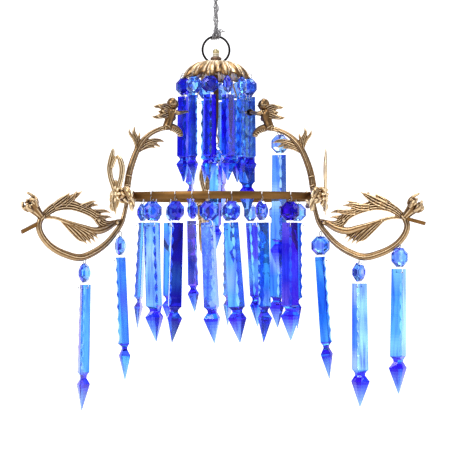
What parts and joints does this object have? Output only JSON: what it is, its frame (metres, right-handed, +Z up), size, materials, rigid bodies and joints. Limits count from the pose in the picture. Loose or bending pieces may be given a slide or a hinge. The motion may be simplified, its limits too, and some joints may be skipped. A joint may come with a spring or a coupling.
{
  "type": "chandelier",
  "caption": "Small crystal chandelier: scrolled brass arms and cherub brackets on a ring band, hung with cobalt glass beads and spear prisms from a bail and chain.",
  "frame": {"origin": "the hanging point, inside the top of the hanging ring", "axes": "+Z up; +Y along the back arm; the other two arms at 30 degrees in front of -X and +X"},
  "size_m": [0.235, 0.2047, 0.2693],
  "materials": {
    "aged_brass": "cast, aged, satin with bright edges",
    "band_bronze": "dark bronze patina, satin",
    "pale_gilt": "pale gilt, satin",
    "dark_steel": "dark, oiled",
    "olive_brass": "dull olive brass",
    "silver_steel": "bright plated wire",
    "cobalt_glass": "clear cobalt blue cut glass"
  },
  "bodies": {
    "hanger": {"hanging_ring": "silver_steel"},
    "chain": {"hanging_chain": "silver_steel"},
    "bail": {"bail_ring": "dark_steel"},
    "frame": {"bail_collar": "dark_steel", "finial_knob": "olive_brass", "crown_cap": "pale_gilt", "centre_stem": "aged_brass", "strap_spider": "aged_brass", "ring_band": "band_bronze", "scroll_arm_back": "aged_brass", "cherub_bracket_back": "aged_brass", "leaf_clamp_back": "aged_brass", "cap_nut_back": "silver_steel", "scroll_arm_right": "aged_brass", "cherub_bracket_right": "aged_brass", "leaf_clamp_right": "aged_brass", "cap_nut_right": "silver_steel", "scroll_arm_left": "aged_brass", "cherub_bracket_left": "aged_brass", "leaf_clamp_left": "aged_brass", "cap_nut_left": "silver_steel"},
    "crown_pendant_01": {"crown_pendant_01": "cobalt_glass"},
    "crown_pendant_02": {"crown_pendant_02": "cobalt_glass"},
    "crown_pendant_03": {"crown_pendant_03": "cobalt_glass"},
    "crown_pendant_04": {"crown_pendant_04": "cobalt_glass"},
    "crown_pendant_05": {"crown_pendant_05": "cobalt_glass"},
    "crown_pendant_06": {"crown_pendant_06": "cobalt_glass"},
    "crown_pendant_07": {"crown_pendant_07": "cobalt_glass"},
    "crown_pendant_08": {"crown_pendant_08": "cobalt_glass"},
    "crown_pendant_09": {"crown_pendant_09": "cobalt_glass"},
    "crown_pendant_10": {"crown_pendant_10": "cobalt_glass"},
    "crown_pendant_11": {"crown_pendant_11": "cobalt_glass"},
    "crown_pendant_12": {"crown_pendant_12": "cobalt_glass"},
    "band_pendant_01": {"band_pendant_01": "cobalt_glass"},
    "band_pendant_02": {"band_pendant_02": "cobalt_glass"},
    "band_pendant_03": {"band_pendant_03": "cobalt_glass"},
    "band_pendant_04": {"band_pendant_04": "cobalt_glass"},
    "band_pendant_05": {"band_pendant_05": "cobalt_glass"},
    "band_pendant_06": {"band_pendant_06": "cobalt_glass"},
    "band_pendant_07": {"band_pendant_07": "cobalt_glass"},
    "band_pendant_08": {"band_pendant_08": "cobalt_glass"},
    "band_pendant_09": {"band_pendant_09": "cobalt_glass"},
    "band_pendant_10": {"band_pendant_10": "cobalt_glass"},
    "band_pendant_11": {"band_pendant_11": "cobalt_glass"},
    "band_pendant_12": {"band_pendant_12": "cobalt_glass"},
    "band_pendant_13": {"band_pendant_13": "cobalt_glass"},
    "band_pendant_14": {"band_pendant_14": "cobalt_glass"},
    "arm_pendant_right_1": {"arm_pendant_right_1": "cobalt_glass"},
    "arm_pendant_right_2": {"arm_pendant_right_2": "cobalt_glass"},
    "arm_pendant_right_3": {"arm_pendant_right_3": "cobalt_glass"},
    "arm_pendant_left_1": {"arm_pendant_left_1": "cobalt_glass"},
    "arm_pendant_left_2": {"arm_pendant_left_2": "cobalt_glass"},
    "bracket_pendant": {"bracket_pendant": "cobalt_glass"},
    "centre_pendant": {"centre_pendant": "cobalt_glass"}
  },
  "joints": [
    {"name": "chain_swing", "type": "hinge", "parent": "hanger", "child": "chain", "pos_m": [0, 0, -0.0112], "axis": [0, 1, 0], "range_deg": [-20, 20]},
    {"name": "bail_swing", "type": "hinge", "parent": "chain", "child": "bail", "pos_m": [0, 0, -0.0399], "axis": [1, 0, 0], "range_deg": [-35, 35]},
    {"name": "frame_tilt", "type": "hinge", "parent": "bail", "child": "frame", "pos_m": [0, 0, -0.0569], "axis": [1, 0, 0], "range_deg": [-45, 45]},
    {"name": "crown_pendant_01_swing", "type": "hinge", "parent": "frame", "child": "crown_pendant_01", "pos_m": [-0.0055, -0.02053, -0.06545], "axis": [-0.9659, 0.2588, 0], "range_deg": [-2, 8]},
    {"name": "crown_pendant_02_swing", "type": "hinge", "parent": "frame", "child": "crown_pendant_02", "pos_m": [0.0055, -0.02053, -0.06545], "axis": [-0.9659, -0.2588, 0], "range_deg": [-2, 8]},
    {"name": "crown_pendant_03_swing", "type": "hinge", "parent": "frame", "child": "crown_pendant_03", "pos_m": [0.01503, -0.01503, -0.06545], "axis": [-0.7071, -0.7071, 0], "range_deg": [-2, 8]},
    {"name": "crown_pendant_04_swing", "type": "hinge", "parent": "frame", "child": "crown_pendant_04", "pos_m": [0.02053, -0.0055, -0.06545], "axis": [-0.2588, -0.9659, 0], "range_deg": [-2, 8]},
    {"name": "crown_pendant_05_swing", "type": "hinge", "parent": "frame", "child": "crown_pendant_05", "pos_m": [0.02053, 0.0055, -0.06545], "axis": [0.2588, -0.9659, 0], "range_deg": [-2, 8]},
    {"name": "crown_pendant_06_swing", "type": "hinge", "parent": "frame", "child": "crown_pendant_06", "pos_m": [0.01503, 0.01503, -0.06545], "axis": [0.7071, -0.7071, 0], "range_deg": [-2, 8]},
    {"name": "crown_pendant_07_swing", "type": "hinge", "parent": "frame", "child": "crown_pendant_07", "pos_m": [0.0055, 0.02053, -0.06545], "axis": [0.9659, -0.2588, 0], "range_deg": [-2, 8]},
    {"name": "crown_pendant_08_swing", "type": "hinge", "parent": "frame", "child": "crown_pendant_08", "pos_m": [-0.0055, 0.02053, -0.06545], "axis": [0.9659, 0.2588, 0], "range_deg": [-2, 8]},
    {"name": "crown_pendant_09_swing", "type": "hinge", "parent": "frame", "child": "crown_pendant_09", "pos_m": [-0.01503, 0.01503, -0.06545], "axis": [0.7071, 0.7071, 0], "range_deg": [-2, 8]},
    {"name": "crown_pendant_10_swing", "type": "hinge", "parent": "frame", "child": "crown_pendant_10", "pos_m": [-0.02053, 0.0055, -0.06545], "axis": [0.2588, 0.9659, 0], "range_deg": [-2, 8]},
    {"name": "crown_pendant_11_swing", "type": "hinge", "parent": "frame", "child": "crown_pendant_11", "pos_m": [-0.02053, -0.0055, -0.06545], "axis": [-0.2588, 0.9659, 0], "range_deg": [-2, 8]},
    {"name": "crown_pendant_12_swing", "type": "hinge", "parent": "frame", "child": "crown_pendant_12", "pos_m": [-0.01503, -0.01503, -0.06545], "axis": [-0.7071, 0.7071, 0], "range_deg": [-2, 8]},
    {"name": "band_pendant_01_swing", "type": "hinge", "parent": "frame", "child": "band_pendant_01", "pos_m": [-0.0421, -0.05018, -0.1432], "axis": [-0.766, 0.6428, 0], "range_deg": [-10, 30]},
    {"name": "band_pendant_02_swing", "type": "hinge", "parent": "frame", "child": "band_pendant_02", "pos_m": [-0.02871, -0.05887, -0.1432], "axis": [-0.8988, 0.4384, 0], "range_deg": [-10, 30]},
    {"name": "band_pendant_03_swing", "type": "hinge", "parent": "frame", "child": "band_pendant_03", "pos_m": [-0.01915, -0.06264, -0.1432], "axis": [-0.9563, 0.2924, 0], "range_deg": [-10, 30]},
    {"name": "band_pendant_04_swing", "type": "hinge", "parent": "frame", "child": "band_pendant_04", "pos_m": [-0.00968, -0.06478, -0.1432], "axis": [-0.989, 0.1478, 0], "range_deg": [-10, 30]},
    {"name": "band_pendant_05_swing", "type": "hinge", "parent": "frame", "child": "band_pendant_05", "pos_m": [0.00343, -0.06541, -0.1432], "axis": [-0.9986, -0.0523, 0], "range_deg": [-10, 30]},
    {"name": "band_pendant_06_swing", "type": "hinge", "parent": "frame", "child": "band_pendant_06", "pos_m": [0.02133, -0.06193, -0.1432], "axis": [-0.9455, -0.3256, 0], "range_deg": [-10, 30]},
    {"name": "band_pendant_07_swing", "type": "hinge", "parent": "frame", "child": "band_pendant_07", "pos_m": [0.03942, -0.05231, -0.1432], "axis": [-0.7986, -0.6018, 0], "range_deg": [-10, 30]},
    {"name": "band_pendant_08_swing", "type": "hinge", "parent": "frame", "child": "band_pendant_08", "pos_m": [0.05672, 0.03275, -0.1432], "axis": [0.5, -0.866, 0], "range_deg": [-10, 30]},
    {"name": "band_pendant_09_swing", "type": "hinge", "parent": "frame", "child": "band_pendant_09", "pos_m": [0.0455, 0.04712, -0.1432], "axis": [0.7193, -0.6947, 0], "range_deg": [-10, 30]},
    {"name": "band_pendant_10_swing", "type": "hinge", "parent": "frame", "child": "band_pendant_10", "pos_m": [0.02871, 0.05887, -0.1432], "axis": [0.8988, -0.4384, 0], "range_deg": [-10, 30]},
    {"name": "band_pendant_11_swing", "type": "hinge", "parent": "frame", "child": "band_pendant_11", "pos_m": [0.01362, 0.06407, -0.1432], "axis": [0.9781, -0.2079, 0], "range_deg": [-10, 30]},
    {"name": "band_pendant_12_swing", "type": "hinge", "parent": "frame", "child": "band_pendant_12", "pos_m": [-0.02559, 0.06029, -0.1432], "axis": [0.9205, 0.3907, 0], "range_deg": [-10, 30]},
    {"name": "band_pendant_13_swing", "type": "hinge", "parent": "frame", "child": "band_pendant_13", "pos_m": [-0.03567, 0.05493, -0.1432], "axis": [0.8387, 0.5446, 0], "range_deg": [-10, 30]},
    {"name": "band_pendant_14_swing", "type": "hinge", "parent": "frame", "child": "band_pendant_14", "pos_m": [-0.04467, 0.0479, -0.1432], "axis": [0.7314, 0.682, 0], "range_deg": [-10, 30]},
    {"name": "arm_pendant_right_1_swing", "type": "hinge", "parent": "frame", "child": "arm_pendant_right_1", "pos_m": [0.06062, -0.035, -0.164], "axis": [0.866, -0.5, 0], "range_deg": [-12, 12]},
    {"name": "arm_pendant_right_2_swing", "type": "hinge", "parent": "frame", "child": "arm_pendant_right_2", "pos_m": [0.08184, -0.04725, -0.1797], "axis": [0.866, -0.5, 0], "range_deg": [-30, 30]},
    {"name": "arm_pendant_right_3_swing", "type": "hinge", "parent": "frame", "child": "arm_pendant_right_3", "pos_m": [0.10375, -0.0599, -0.1706], "axis": [0.866, -0.5, 0], "range_deg": [-30, 30]},
    {"name": "arm_pendant_left_1_swing", "type": "hinge", "parent": "frame", "child": "arm_pendant_left_1", "pos_m": [-0.06062, -0.035, -0.164], "axis": [-0.866, -0.5, 0], "range_deg": [-12, 12]},
    {"name": "arm_pendant_left_2_swing", "type": "hinge", "parent": "frame", "child": "arm_pendant_left_2", "pos_m": [-0.08184, -0.04725, -0.1797], "axis": [-0.866, -0.5, 0], "range_deg": [-30, 30]},
    {"name": "bracket_pendant_swing", "type": "hinge", "parent": "frame", "child": "bracket_pendant", "pos_m": [0.03829, -0.01668, -0.1013], "axis": [-0.5, -0.866, 0], "range_deg": [-6, 6]},
    {"name": "centre_pendant_swing", "type": "hinge", "parent": "frame", "child": "centre_pendant", "pos_m": [0, 0, -0.1082], "axis": [1, 0, 0], "range_deg": [-5, 5]}
  ]
}
